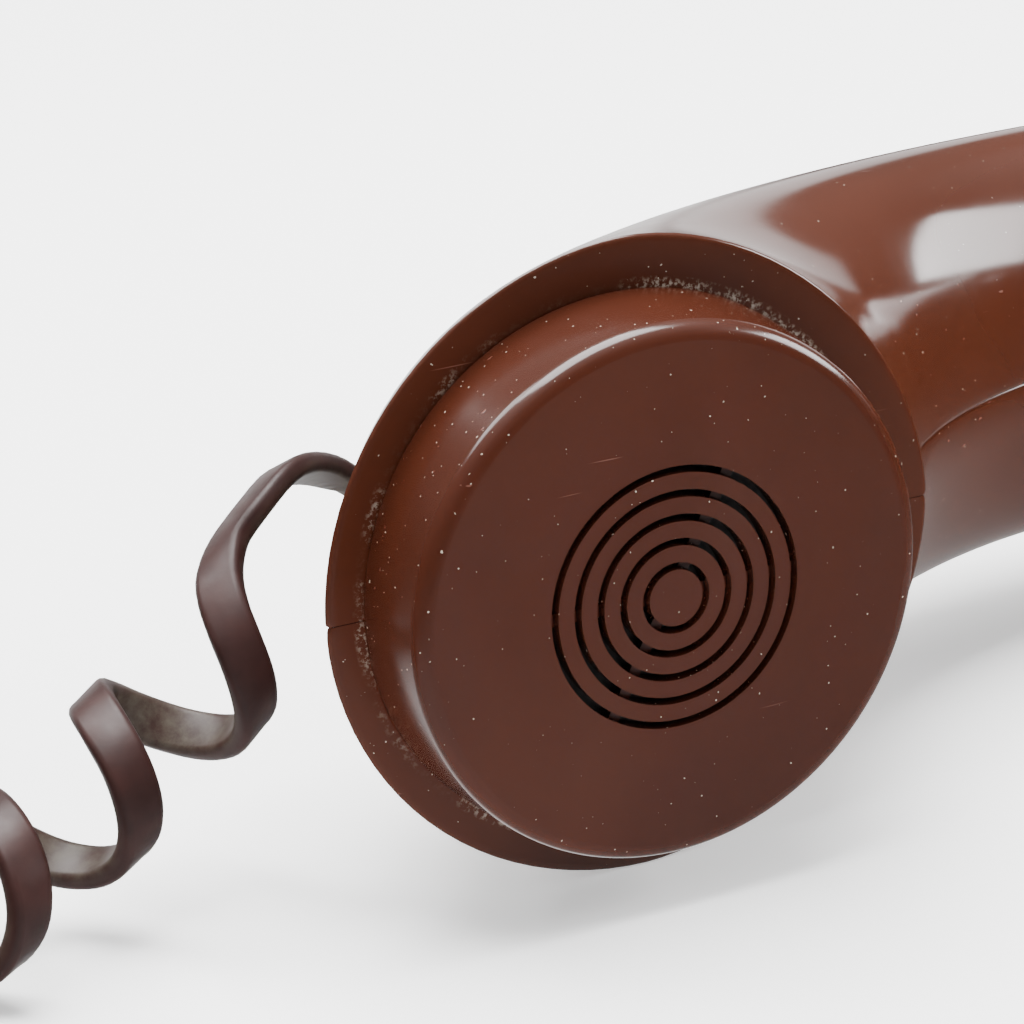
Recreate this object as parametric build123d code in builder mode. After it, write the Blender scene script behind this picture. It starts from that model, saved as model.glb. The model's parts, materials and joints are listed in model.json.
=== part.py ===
"""Telephone handset on its side, with a curly cord and a modular plug.

X runs along the handset, from the mouthpiece (-X) to the earpiece (+X). Both caps
face -Y, the back of the handle faces +Y, and Z is up. The handset is two shells that
meet on a level plane half way up. The origin is under the middle of the handset, on
the surface that it lies on.
"""
import os
from math import asin, cos, dist, pi, radians, sin, tan

from build123d import *

# Handset body. Each profile line is an arc of a superellipse, as (x at the rim, depth at
# mid-handle, how far its centre stands in front of the rim, roundness). x is from the
# mouthpiece cap's axis towards the middle of the handset, y is behind the rim's face.
CAP_AXIS_X = 80.0
INNER_ARC = (36.0, 27.2, 0.0, 1.72)
OUTER_ARC = (-32.6, 55.5, 26.0, 2.0)
RIM_HALF_WIDTH = 33.99
HANDLE_HALF_WIDTH = 24.2
RIM_ROUNDNESS = (1.84, 1.96)
HANDLE_ROUNDNESS = 2.2
WIDTH_EASE = 1.8
ROUNDNESS_EASE = 2.0
OUTER_LAG = 1.4
SECTION_COUNT = 9
SECTION_POINTS = 24
LOFT_SPANS = [(0, 4), (4, 8)]
WALL = 2.4
RIM_THICKNESS = 2.8
INNER_LEAN = 0.25
OUTER_LEAN = 0.55
SIDE_LEAN = 0.65
MID_Z = 34.0

# Caps
CAP_HEIGHT = 11.35
CAP_BASE_R = 28.7
CAP_FACE_R = 27.9
CAP_EDGE_FILLET = 1.8
CAP_WALL = 2.2
SKIRT_R = 23.7
SKIRT_WALL = 1.5
SKIRT_DEPTH = 5.6
CAP_GAP = 0.3
SLOT_PITCH = 2.5
SLOT_WIDTH = 0.77
SLOT_FIRST_R = 2.95
SLOT_COUNT = 5
RIB_COUNT = 6
RIB_WIDTH = 1.3
RIB_HEIGHT = 1.0

# Threaded neck in the shells
NECK_R = 24.0
NECK_WALL = 1.6
NECK_DEPTH = 6.6

# Seal ring in the space between a cap's skirt and its outer wall
SEAL_R = 25.8
SEAL_BORE_R = 24.15
SEAL_THICKNESS = 2.4

# Capsules and what holds them, as depths behind the rim
SCREEN_R = 21.7
SCREEN_FRONT = -8.8
SCREEN_BACK = -8.0
CAPSULE_R = 21.4
CAPSULE_WALL = 1.0
CAPSULE_FRONT = -7.5
GRID_THICKNESS = 0.9
DIAPHRAGM_FRONT = -5.4
DIAPHRAGM_THICKNESS = 0.4
CAPSULE_BACK = 3.4
HOLDER_FRONT = 3.5
HOLDER_BACK = 9.6
HOLDER_WALL = 1.6

# Pieces inside the handle, sizes along X, Y and Z
BALLAST_SIZE = (34.0, 10.0, 17.0)
BLOCK_SIZE = (16.0, 9.0, 20.0)
WADDING_SIZE = (24.0, 12.0, 22.0)
LEAD_R = 0.6
LEAD_RUN_DEPTH = 32.3
LEAD_BEND = 8.0
LEAD_TIGHT_BEND = 3.0
LEAD_HEIGHTS = (-6.0, 6.0)

# Shell screws
SCREW_X = 30.0
SCREW_HEAD_R = 2.8
SCREW_HEAD_HEIGHT = 2.2
SCREW_SHANK_R = 1.45
SCREW_SEAT_Z = 20.0
SCREW_TOP_Z = 47.0
SCREW_CLEARANCE = 0.3
SCREW_SLOT_WIDTH = 0.8
BOSS_R = 4.2
BOSS_SETBACK = 2.0
GROMMET_R = 4.0

# Cord. Route points are (x, y) from the mouthpiece cap's axis, and height.
CORD_WIDTH = 5.0
COIL_DIAMETER = 16.4
EXIT_SHARE = 0.31
EXIT_STAND_OFF = 0.4
GROMMET_LENGTH = 3.5
GROMMET_BORE_R = 1.7
GROMMET_HEAD_R = 4.3
GROMMET_HEAD_TAPER = 12
FLANGE_R = 5.0
FLANGE_THICKNESS = 1.6
BACK_FLANGE_R = 5.6
BACK_FLANGE_THICKNESS = 2.0
BACK_FLANGE_DEPTH = 4.6
CORE_R = 1.6
CORE_DEPTH = 10.0
CLAMP_SIZE = (6.0, 5.0, 2.6)
CLAMP_DEPTH = 9.6
TAIL_STRAIGHT = 7.6
TAIL_ROUTE = [(-26.5, 34.5, 36.5), (-34.5, 19.5, 28.5)]
COIL_ROUTE = [(-31.0, 20.0, 30.0), (-40.0, 18.5, 22.5), (-49.0, 17.0, 15.5), (-58.0, 14.5, 10.5),
              (-68.0, 10.0, 8.4), (-79.0, 3.0, 8.4), (-94.0, -2.6, 8.4), (-116.0, -3.0, 8.4),
              (-138.0, -1.0, 8.4), (-157.0, 6.0, 8.4), (-169.0, 20.5, 8.4), (-171.0, 38.0, 8.4),
              (-161.0, 53.5, 8.4), (-143.0, 61.5, 8.4), (-122.0, 64.0, 8.4), (-106.0, 62.5, 8.4),
              (-92.5, 58.5, 8.4), (-83.5, 49.0, 8.4), (-81.5, 36.5, 8.4), (-87.0, 25.5, 8.4),
              (-97.5, 20.5, 8.4), (-111.0, 22.0, 8.4), (-126.0, 22.0, 8.4)]
FAR_TAIL_LENGTH = 12.0

# Modular plug, length along X, width along Y, height along Z
PLUG_SIZE = (15.0, 7.7, 6.6)
LATCH_LENGTH = 11.0
LATCH_WIDTH = 3.2
LATCH_THICKNESS = 0.9
LATCH_RISE = 16.0
LATCH_CLEARANCE = 0.35
PIVOT_SETBACK = 2.0
FLOOR_GAP = 0.1
CONTACT_COUNT = 4
CONTACT_PITCH = 1.27

RIM_Y = -(OUTER_ARC[1] - CAP_HEIGHT) / 2
FACE_Y = RIM_Y - CAP_HEIGHT
ENDS = {"transmitter": -CAP_AXIS_X, "receiver": CAP_AXIS_X}


def place(x, y):
    """Position in the part's frame of a point given from the mouthpiece cap's axis."""
    return x - CAP_AXIS_X, y + RIM_Y


def write(part, name):
    part.label = name
    export_step(part, f"parts/{name}.step")


def power(value, exponent):
    return (1 if value >= 0 else -1) * abs(value) ** exponent


def section_plane(inner, outer):
    """Plane through an inner and an outer profile point, upright."""
    across = (inner[0] - outer[0], inner[1] - outer[1])
    middle = ((inner[0] + outer[0]) / 2, (inner[1] + outer[1]) / 2, MID_Z)
    return Plane(origin=middle, x_dir=(across[0], across[1], 0), z_dir=(across[1], -across[0], 0))


def section_outline(half_depth, half_width, roundness):
    """Points round a section: its inner half and its outer half differ in roundness."""
    points = []
    for step in range(SECTION_POINTS):
        turn = 2 * pi * step / SECTION_POINTS
        exponent = 2 / (roundness[0] if cos(turn) > 0 else roundness[1])
        points.append((half_depth * power(cos(turn), exponent),
                       half_width * power(sin(turn), exponent)))
    return points


def body_line(arc, share):
    """Point on a profile line, a share of the way from the rim to mid-handle."""
    rim_x, top, drop, roundness = arc
    first = asin((drop / (top + drop)) ** (roundness / 2))
    turn = first + (pi / 2 - first) * share
    reach = (CAP_AXIS_X - rim_x) / cos(first) ** (2 / roundness)
    return (CAP_AXIS_X - reach * cos(turn) ** (2 / roundness),
            (top + drop) * sin(turn) ** (2 / roundness) - drop)


def eased(rim_value, handle_value, share, ease):
    """A value that goes from the rim's to the handle's, quickly at first."""
    return handle_value + (rim_value - handle_value) * (1 - share) ** ease


def section_list(wall=0.0):
    """Sections from the mouthpiece rim to mid-handle. The hollow's are moved in by a wall, and
    its first one stands behind the rim's thickness, where the sides already lean in."""
    half = []
    for index in range(SECTION_COUNT):
        share = index / (SECTION_COUNT - 1)
        inner = body_line(INNER_ARC, share)
        outer = body_line(OUTER_ARC, share ** OUTER_LAG)
        span = dist(inner, outer)
        along = ((inner[0] - outer[0]) / span, (inner[1] - outer[1]) / span)
        lift = RIM_THICKNESS if wall and index == 0 else 0.0
        inner_inset = wall + INNER_LEAN * lift
        outer_inset = wall + OUTER_LEAN * lift
        start = (inner[0] - along[0] * inner_inset, inner[1] - along[1] * inner_inset + lift)
        end = (outer[0] + along[0] * outer_inset, outer[1] + along[1] * outer_inset + lift)
        width = eased(RIM_HALF_WIDTH, HANDLE_HALF_WIDTH, share, WIDTH_EASE) - wall - SIDE_LEAN * lift
        roundness = [eased(value, HANDLE_ROUNDNESS, share, ROUNDNESS_EASE) for value in RIM_ROUNDNESS]
        half.append((place(*start), place(*end), width, roundness))
    return half


def body_loft(wall=0.0):
    """The handset's outside, or its hollow when a wall is given."""
    sections = section_list(wall)
    with BuildPart() as body:
        for first, last in LOFT_SPANS:
            for inner, outer, width, roundness in sections[first:last + 1]:
                half_depth = dist(inner, outer) / 2
                with BuildSketch(section_plane(inner, outer)):
                    with BuildLine():
                        Spline(*section_outline(half_depth, width, roundness), periodic=True)
                    make_face()
            loft()
        mirror(about=Plane.YZ)
    return body.part


def facing(x, y):
    """A plane square to a cap's axis, looking out of the handset, at a depth y."""
    return Plane(origin=(x, RIM_Y + y, MID_Z), x_dir=(1, 0, 0), z_dir=(0, -1, 0))


def ring(x, depth_from, depth_to, radius, bore=0.0):
    """A disc or ring on a cap's axis between two depths behind the rim."""
    with BuildPart() as piece:
        with BuildSketch(facing(x, depth_to)):
            Circle(radius)
            if bore:
                Circle(bore, mode=Mode.SUBTRACT)
        extrude(amount=depth_to - depth_from)
    return piece.part


# The cord leaves square to the body's outer line
line_before = body_line(OUTER_ARC, EXIT_SHARE - 0.01)
line_after = body_line(OUTER_ARC, EXIT_SHARE + 0.01)
line_step = dist(line_before, line_after)
exit_direction = ((line_before[1] - line_after[1]) / line_step,
                  (line_after[0] - line_before[0]) / line_step)
exit_x, exit_y = place(*body_line(OUTER_ARC, EXIT_SHARE))
exit_x += exit_direction[0] * EXIT_STAND_OFF
exit_y += exit_direction[1] * EXIT_STAND_OFF
exit_plane = Plane(origin=(exit_x, exit_y, MID_Z), x_dir=(0, 0, 1),
                   z_dir=(exit_direction[0], exit_direction[1], 0))

os.makedirs("parts", exist_ok=True)

# ---- Shells: one hollow body, split on the level plane
outside = body_loft()
hollow = body_loft(WALL)
boss_y = RIM_Y + (INNER_ARC[1] + OUTER_ARC[1]) / 2 - BOSS_SETBACK
with BuildPart() as handset:
    add(outside)
    add(hollow, mode=Mode.SUBTRACT)
    for axis_x in ENDS.values():
        add(ring(axis_x, 0.5, NECK_DEPTH, NECK_R + NECK_WALL))
    with BuildSketch(Plane.XY.offset(2 * MID_Z)):
        with Locations((-SCREW_X, boss_y), (SCREW_X, boss_y)):
            Circle(BOSS_R)
    boss_columns = extrude(amount=-2 * MID_Z, mode=Mode.PRIVATE)
    add(boss_columns.intersect(outside))
    for axis_x in ENDS.values():
        add(ring(axis_x, -1.0, NECK_DEPTH + 1.0, NECK_R), mode=Mode.SUBTRACT)
    with BuildSketch(exit_plane.offset(-8.0)):
        Circle(GROMMET_R)
    extrude(amount=16.0, mode=Mode.SUBTRACT)
    with BuildSketch(Plane.XY):
        with Locations((-SCREW_X, boss_y), (SCREW_X, boss_y)):
            Circle(SCREW_HEAD_R + SCREW_CLEARANCE)
    extrude(amount=SCREW_SEAT_Z, mode=Mode.SUBTRACT)
    with BuildSketch(Plane.XY):
        with Locations((-SCREW_X, boss_y), (SCREW_X, boss_y)):
            Circle(SCREW_SHANK_R + 0.05)
    extrude(amount=SCREW_TOP_Z + 1.0, mode=Mode.SUBTRACT)
for name, keep in (("upper_shell", Keep.TOP), ("lower_shell", Keep.BOTTOM)):
    with BuildPart() as shell:
        add(handset.part)
        split(bisect_by=Plane.XY.offset(MID_Z), keep=keep)
    print(name, len(shell.part.solids()), shell.part.volume)
    write(shell.part, name)


def cap_body(x):
    """A screw cap: a face with ring slots, a drafted outer wall and a threaded skirt."""
    inside_y = -CAP_HEIGHT + CAP_WALL
    profile = [(0, -CAP_HEIGHT), (CAP_FACE_R, -CAP_HEIGHT), (CAP_BASE_R, -CAP_GAP),
               (CAP_BASE_R - CAP_WALL, -CAP_GAP), (CAP_FACE_R - CAP_WALL, inside_y),
               (SKIRT_R, inside_y), (SKIRT_R, SKIRT_DEPTH), (SKIRT_R - SKIRT_WALL, SKIRT_DEPTH),
               (SKIRT_R - SKIRT_WALL, inside_y), (0, inside_y)]
    axis_plane = Plane(origin=(x, RIM_Y, MID_Z), x_dir=(1, 0, 0), z_dir=(0, 0, 1))
    with BuildPart() as cap:
        with BuildSketch(axis_plane):
            with BuildLine():
                Polyline(*profile, close=True)
            make_face()
            fillet(vertices().sort_by(Axis.Y)[:2].sort_by(Axis.X)[-1], CAP_EDGE_FILLET)
        revolve(axis=Axis((x, RIM_Y, MID_Z), (0, -1, 0)))
        with BuildSketch(facing(x, inside_y + 0.1)):
            for index in reversed(range(SLOT_COUNT)):
                slot_r = SLOT_FIRST_R + index * SLOT_PITCH
                Circle(slot_r + SLOT_WIDTH)
                Circle(slot_r, mode=Mode.SUBTRACT)
        extrude(amount=CAP_WALL + 1.0, mode=Mode.SUBTRACT)
        rib_length = SLOT_FIRST_R + SLOT_COUNT * SLOT_PITCH - 1.0
        with BuildSketch(facing(x, inside_y)):
            with PolarLocations(rib_length / 2 + 1.0, RIB_COUNT):
                Rectangle(rib_length, RIB_WIDTH)
        extrude(amount=RIB_HEIGHT)
    return cap.part


def capsule_case(x):
    """A capsule's metal case, closed at the back and open at the front."""
    with BuildPart() as case:
        add(ring(x, CAPSULE_FRONT, CAPSULE_BACK, CAPSULE_R))
        add(ring(x, CAPSULE_FRONT - 1.0, CAPSULE_BACK - CAPSULE_WALL, CAPSULE_R - CAPSULE_WALL),
            mode=Mode.SUBTRACT)
    return case.part


def front_grid(x):
    """The perforated plate that closes a capsule's front."""
    radius = CAPSULE_R - CAPSULE_WALL - 0.1
    with BuildPart() as grid:
        with BuildSketch(facing(x, CAPSULE_FRONT + GRID_THICKNESS)):
            Circle(radius)
            Circle(0.9, mode=Mode.SUBTRACT)
            for circle_r, count in ((5.0, 6), (10.0, 12), (15.0, 18)):
                with PolarLocations(circle_r, count):
                    Circle(0.9, mode=Mode.SUBTRACT)
        extrude(amount=GRID_THICKNESS)
    return grid.part


def holder(x):
    """The plastic cup behind a capsule, with a hole for its leads."""
    with BuildPart() as cup:
        add(ring(x, HOLDER_FRONT, HOLDER_BACK, CAPSULE_R - 0.6))
        add(ring(x, HOLDER_FRONT - 1.0, HOLDER_BACK - HOLDER_WALL, CAPSULE_R - 0.6 - HOLDER_WALL),
            mode=Mode.SUBTRACT)
        with BuildSketch(facing(x, HOLDER_BACK + 1.0)):
            with Locations((0, 12.0), (0, -12.0)):
                Circle(3.0)
        extrude(amount=HOLDER_WALL + 2.0, mode=Mode.SUBTRACT)
    return cup.part


def block(center, size, corner):
    """A box with rounded upright edges."""
    with BuildPart() as piece:
        with Locations(center):
            Box(*size)
        fillet(piece.edges().filter_by(Axis.Z), corner)
    return piece.part


def lead(points, radius):
    """An insulated wire along straight runs joined by arcs."""
    with BuildPart() as wire:
        with BuildLine() as path:
            FilletPolyline(*points, radius=radius)
        with BuildSketch(Plane(origin=path.line @ 0, z_dir=path.line % 0)):
            Circle(LEAD_R)
        sweep()
    return wire.part


# ---- Caps, seal rings, dust screens, capsules and holders, one set at each end
for end, axis_x in ENDS.items():
    write(cap_body(axis_x), f"{end}_cap")
    seal = ring(axis_x, -CAP_GAP - SEAL_THICKNESS, -CAP_GAP, SEAL_R, SEAL_BORE_R)
    write(seal, f"{end}_seal_ring")
    write(ring(axis_x, SCREEN_FRONT, SCREEN_BACK, SCREEN_R), f"{end}_dust_screen")
    write(capsule_case(axis_x), f"{end}_capsule_case")
    write(front_grid(axis_x), f"{end}_front_grid")
    diaphragm = ring(axis_x, DIAPHRAGM_FRONT, DIAPHRAGM_FRONT + DIAPHRAGM_THICKNESS,
                     CAPSULE_R - CAPSULE_WALL - 0.1)
    write(diaphragm, f"{end}_diaphragm")
    write(holder(axis_x), f"{end}_holder")

# ---- What differs between the capsules
write(ring(-CAP_AXIS_X, -4.6, 2.2, 9.0), "carbon_chamber")
write(ring(CAP_AXIS_X, -3.0, 2.2, 14.0, 7.5), "receiver_magnet")
write(ring(CAP_AXIS_X, -4.0, 2.2, 7.0, 3.4), "receiver_coil")
write(ring(CAP_AXIS_X, HOLDER_BACK + 0.1, HOLDER_BACK + 2.6, 4.5), "varistor")
with BuildPart() as contacts:
    for height in LEAD_HEIGHTS:
        with BuildSketch(facing(-CAP_AXIS_X, HOLDER_BACK - HOLDER_WALL - 0.1)):
            with Locations((0, height)):
                Rectangle(9.0, 3.0)
        extrude(amount=0.5)
        with BuildSketch(facing(-CAP_AXIS_X, HOLDER_BACK - HOLDER_WALL - 0.6)):
            with Locations((3.0, height)):
                Rectangle(0.6, 3.0)
        extrude(amount=3.6)
write(contacts.part, "transmitter_contacts")

# ---- Pieces inside the handle
ballast_y = RIM_Y + 43.0
write(block((0, ballast_y, MID_Z), BALLAST_SIZE, 1.5), "ballast_weight")
block_x, block_y = place(30.0, 27.0)
write(block((block_x, block_y, MID_Z), BLOCK_SIZE, 1.0), "terminal_block")
with BuildPart() as terminal_screws:
    with BuildSketch(Plane.XZ.offset(-(block_y + BLOCK_SIZE[1] / 2))):
        with Locations((block_x, MID_Z)):
            with GridLocations(0, 5.0, 1, 4):
                Circle(1.8)
    extrude(amount=-1.4)
write(terminal_screws.part, "terminal_screws")
wadding_x, wadding_y = place(2 * CAP_AXIS_X - 32.0, 27.0)
write(block((wadding_x, wadding_y, MID_Z + 3.0), WADDING_SIZE, 3.0), "acoustic_wadding")

lead_start_x = block_x - BLOCK_SIZE[0] / 2
with BuildPart() as transmitter_leads:
    for height in LEAD_HEIGHTS:
        start = (lead_start_x, block_y, MID_Z + height)
        bend = (lead_start_x - 8.0, block_y, MID_Z + height)
        drop = (lead_start_x - 14.0, RIM_Y + HOLDER_BACK + 7.0, MID_Z + height)
        end_point = (-CAP_AXIS_X + 2.0, RIM_Y + HOLDER_BACK + 1.0, MID_Z + height)
        add(lead([start, bend, drop, end_point], LEAD_TIGHT_BEND))
write(transmitter_leads.part, "transmitter_leads")
with BuildPart() as receiver_leads:
    for height in (-12.0, -9.5):
        start = (block_x + 4.0, RIM_Y + LEAD_RUN_DEPTH, MID_Z + height)
        past_middle = (CAP_AXIS_X / 3, RIM_Y + LEAD_RUN_DEPTH, MID_Z + height)
        turn = (CAP_AXIS_X - 24.0, RIM_Y + 18.0, MID_Z + height)
        end_point = (CAP_AXIS_X - 8.0, RIM_Y + HOLDER_BACK + 1.0, MID_Z + height)
        add(lead([start, past_middle, turn, end_point], LEAD_BEND))
write(receiver_leads.part, "receiver_leads")
with BuildPart() as shell_screws:
    with BuildSketch(Plane.XY.offset(SCREW_SEAT_Z - SCREW_HEAD_HEIGHT)):
        with Locations((-SCREW_X, boss_y), (SCREW_X, boss_y)):
            Circle(SCREW_HEAD_R)
    extrude(amount=SCREW_HEAD_HEIGHT)
    with BuildSketch(Plane.XY.offset(SCREW_SEAT_Z - SCREW_HEAD_HEIGHT)):
        with Locations((-SCREW_X, boss_y), (SCREW_X, boss_y)):
            Rectangle(SCREW_HEAD_R * 1.5, SCREW_SLOT_WIDTH)
    extrude(amount=1.0, mode=Mode.SUBTRACT)
    with BuildSketch(Plane.XY.offset(SCREW_SEAT_Z)):
        with Locations((-SCREW_X, boss_y), (SCREW_X, boss_y)):
            Circle(SCREW_SHANK_R)
    extrude(amount=SCREW_TOP_Z - SCREW_SEAT_Z)
write(shell_screws.part, "shell_screws")

# ---- Cord: grommet, core, tail, coil, far tail and plug
head_length = GROMMET_LENGTH - FLANGE_THICKNESS
with BuildPart() as grommet:
    for start, length, radius, taper_angle in (
            (-BACK_FLANGE_DEPTH - BACK_FLANGE_THICKNESS, BACK_FLANGE_THICKNESS, BACK_FLANGE_R, 0),
            (-BACK_FLANGE_DEPTH, BACK_FLANGE_DEPTH, GROMMET_R - 0.1, 0),
            (0.0, FLANGE_THICKNESS, FLANGE_R, 0),
            (FLANGE_THICKNESS, head_length, GROMMET_HEAD_R, GROMMET_HEAD_TAPER)):
        with BuildSketch(exit_plane.offset(start)):
            Circle(radius)
        extrude(amount=length, taper=taper_angle)
    with BuildSketch(exit_plane.offset(-CORE_DEPTH)):
        Circle(GROMMET_BORE_R)
    extrude(amount=CORE_DEPTH + GROMMET_LENGTH + 1.0, mode=Mode.SUBTRACT)
write(grommet.part, "cord_grommet")
with BuildPart() as cord_core:
    with BuildSketch(exit_plane.offset(-CORE_DEPTH)):
        Circle(CORE_R)
    extrude(amount=CORE_DEPTH + GROMMET_LENGTH - 0.2)
write(cord_core.part, "cord_core")
with BuildPart() as cord_clamp:
    with BuildSketch(exit_plane.offset(-CLAMP_DEPTH)):
        Rectangle(*CLAMP_SIZE[:2])
        Circle(CORE_R + 0.05, mode=Mode.SUBTRACT)
    extrude(amount=CLAMP_SIZE[2])
write(cord_clamp.part, "cord_clamp")


def exit_point(distance):
    """Point on the cord's way out, a distance past the shell."""
    return (exit_x + exit_direction[0] * distance, exit_y + exit_direction[1] * distance, MID_Z)


def corner_radii(points):
    """Arc radius at each corner of a route: 0.45 of the shorter run over tan(half turn)."""
    radii = []
    for before, corner, after in zip(points, points[1:], points[2:]):
        first, second = Vector(*corner) - Vector(*before), Vector(*after) - Vector(*corner)
        half_turn = radians(first.get_angle(second)) / 2
        radii.append(0.45 * min(first.length, second.length) / tan(half_turn))
    return radii


def tube(points, radius):
    """A tube along straight runs joined by tangent arcs."""
    radii = corner_radii(points)
    print("radii", [round(value, 1) for value in radii])
    with BuildPart() as piece:
        with BuildLine() as path:
            FilletPolyline(*points, radius=radii)
        with BuildSketch(Plane(origin=path.line @ 0, z_dir=path.line % 0)):
            Circle(radius)
        sweep()
    length = sum(edge.length for edge in path.edges())
    print("length", round(length, 1), "volume / (section x length)",
          round(piece.part.volume / (pi * radius ** 2 * length), 4))
    return piece.part


coil_points = [place(x, y) + (height,) for x, y, height in COIL_ROUTE]
coil_start_plane = Plane(origin=coil_points[0],
                         z_dir=Vector(*coil_points[1]) - Vector(*coil_points[0]))
tail_points = [exit_point(GROMMET_LENGTH), exit_point(GROMMET_LENGTH + TAIL_STRAIGHT)]
tail_points += [place(x, y) + (height,) for x, y, height in TAIL_ROUTE]
with BuildPart() as cord_tail:
    add(tube(tail_points, CORD_WIDTH / 2))
    split(bisect_by=coil_start_plane, keep=Keep.BOTTOM)
write(cord_tail.part, "cord_tail")
write(tube(coil_points, COIL_DIAMETER / 2), "curly_cord")
coil_end_x, coil_end_y, _ = coil_points[-1]

# The far tail and the plug point to -X, the latch rises back over the plug
plug_z = PLUG_SIZE[2] / 2 + FLOOR_GAP
plug_back_x = coil_end_x - FAR_TAIL_LENGTH
plug_front_x = plug_back_x - PLUG_SIZE[0]
plug_top_z = plug_z + PLUG_SIZE[2] / 2
with BuildPart() as far_tail:
    with BuildSketch(Plane(origin=(coil_end_x, coil_end_y, plug_z), z_dir=(-1, 0, 0))):
        Circle(CORD_WIDTH / 2)
    extrude(amount=FAR_TAIL_LENGTH)
write(far_tail.part, "cord_far_tail")

with BuildPart() as plug:
    with Locations(((plug_back_x + plug_front_x) / 2, coil_end_y, plug_z)):
        Box(*PLUG_SIZE)
    chamfer(plug.edges().filter_by(Axis.Y).group_by(Axis.X)[-1], 0.6)
    fillet(plug.edges().filter_by(Axis.X), 0.3)
    with BuildSketch(Plane.XY):
        with Locations((plug_front_x + 2.5, coil_end_y)):
            with GridLocations(1, CONTACT_PITCH, 1, CONTACT_COUNT):
                Rectangle(5.2, 0.6)
    extrude(amount=2.4, mode=Mode.SUBTRACT)
write(plug.part, "plug_body")
with BuildPart() as plug_contacts:
    with BuildSketch(Plane.XY.offset(0.6)):
        with Locations((plug_front_x + 2.6, coil_end_y)):
            with GridLocations(1, CONTACT_PITCH, 1, CONTACT_COUNT):
                Rectangle(4.0, 0.4)
    extrude(amount=1.7)
write(plug_contacts.part, "plug_contacts")

pivot_x = plug_front_x + PIVOT_SETBACK
pivot_z = plug_top_z + LATCH_CLEARANCE + LATCH_THICKNESS / 2
rise = radians(LATCH_RISE)
latch_plane = Plane(origin=(pivot_x, coil_end_y, pivot_z), x_dir=(cos(rise), 0, sin(rise)),
                    z_dir=(0, 1, 0))
with BuildPart() as latch:
    with BuildSketch(latch_plane):
        with Locations((LATCH_LENGTH / 2, 0)):
            SlotOverall(LATCH_LENGTH + LATCH_THICKNESS, LATCH_THICKNESS)
    extrude(amount=LATCH_WIDTH / 2, both=True)
write(latch.part, "plug_latch")
print("cap axis Y", RIM_Y, "face Y", FACE_Y, "latch pivot", pivot_x, coil_end_y, pivot_z)
print("exit", exit_x, exit_y, "direction", exit_direction)
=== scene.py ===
"""Looks of a telephone handset that lies on its side with its curly cord.

Everything is in metres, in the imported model's frame: X along the handset, both caps
facing -Y, Z up. The handset's outside is rebuilt here as smooth shells and the cord as
a flat ribbon wound in a helix. The caps and the plug keep their CAD shape.
"""
import json
from math import asin, atan2, copysign, cos, dist, floor, pi, radians, sin, tau

import bmesh
import bpy
from mathutils import Matrix, Vector


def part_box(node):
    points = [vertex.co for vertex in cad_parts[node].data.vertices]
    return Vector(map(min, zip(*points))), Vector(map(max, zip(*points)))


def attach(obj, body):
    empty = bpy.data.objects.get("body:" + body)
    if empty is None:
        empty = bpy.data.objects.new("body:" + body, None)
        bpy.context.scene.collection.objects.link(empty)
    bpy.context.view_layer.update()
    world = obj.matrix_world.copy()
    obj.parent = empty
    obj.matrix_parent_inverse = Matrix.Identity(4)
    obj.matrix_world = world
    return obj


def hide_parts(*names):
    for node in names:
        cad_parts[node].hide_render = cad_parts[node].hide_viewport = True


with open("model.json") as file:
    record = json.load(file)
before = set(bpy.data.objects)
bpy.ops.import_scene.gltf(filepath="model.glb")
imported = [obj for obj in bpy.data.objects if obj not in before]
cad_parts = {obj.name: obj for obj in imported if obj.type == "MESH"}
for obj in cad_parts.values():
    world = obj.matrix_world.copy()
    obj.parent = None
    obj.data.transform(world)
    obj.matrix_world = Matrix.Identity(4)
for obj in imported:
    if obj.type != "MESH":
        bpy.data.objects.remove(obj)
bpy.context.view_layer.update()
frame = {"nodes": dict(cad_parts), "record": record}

MM = 0.001
cap_low, cap_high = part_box("transmitter_cap")
upper_low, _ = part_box("upper_shell")

# Places taken from the frame, in metres
CAP_AXIS_X = (cap_low.x + cap_high.x) / 2
MID_Z = upper_low.z
RIM_Y = upper_low.y


def place(x, y, z):
    """A point from millimetres: x and y from the mouthpiece cap's axis at its rim, z a height."""
    return Vector((CAP_AXIS_X + x * MM, RIM_Y + y * MM, z * MM))


def link(obj):
    bpy.context.scene.collection.objects.link(obj)
    return obj


def mesh_object(name, points, faces):
    mesh = bpy.data.meshes.new(name)
    mesh.from_pydata([tuple(p) for p in points], [], faces)
    mesh.validate()
    mesh.polygons.foreach_set("use_smooth", [True] * len(mesh.polygons))
    mesh.update()
    return link(bpy.data.objects.new(name, mesh))


# ---------------------------------------------------------------- camera
# Where the camera looks from, its place in mm from the mouthpiece cap's rim, and its lens
CAMERA_AZIMUTH = radians(-25.0)
CAMERA_ELEVATION = radians(20.45)
CAMERA_ROLL = radians(-2.9)
CAMERA_PLACE = (-159.54, -316.28, 172.09)
LENS_MM = 132.3


def make_camera():
    data = bpy.data.cameras.new("camera")
    data.sensor_width = 36.0
    data.lens = LENS_MM
    data.clip_start = 0.01
    camera = link(bpy.data.objects.new("camera", data))
    back = Vector((sin(CAMERA_AZIMUTH) * cos(CAMERA_ELEVATION),
                   -cos(CAMERA_AZIMUTH) * cos(CAMERA_ELEVATION), sin(CAMERA_ELEVATION)))
    level = Vector((cos(CAMERA_AZIMUTH), sin(CAMERA_AZIMUTH), 0))
    upright = back.cross(level)
    right = cos(CAMERA_ROLL) * level + sin(CAMERA_ROLL) * upright
    turned = Matrix((right, back.cross(right), back)).transposed().to_4x4()
    camera.matrix_world = Matrix.Translation(place(*CAMERA_PLACE)) @ turned
    bpy.context.scene.camera = camera


# ---------------------------------------------------------------- materials
DUST_COLOUR = (0.42, 0.36, 0.29)
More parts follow.
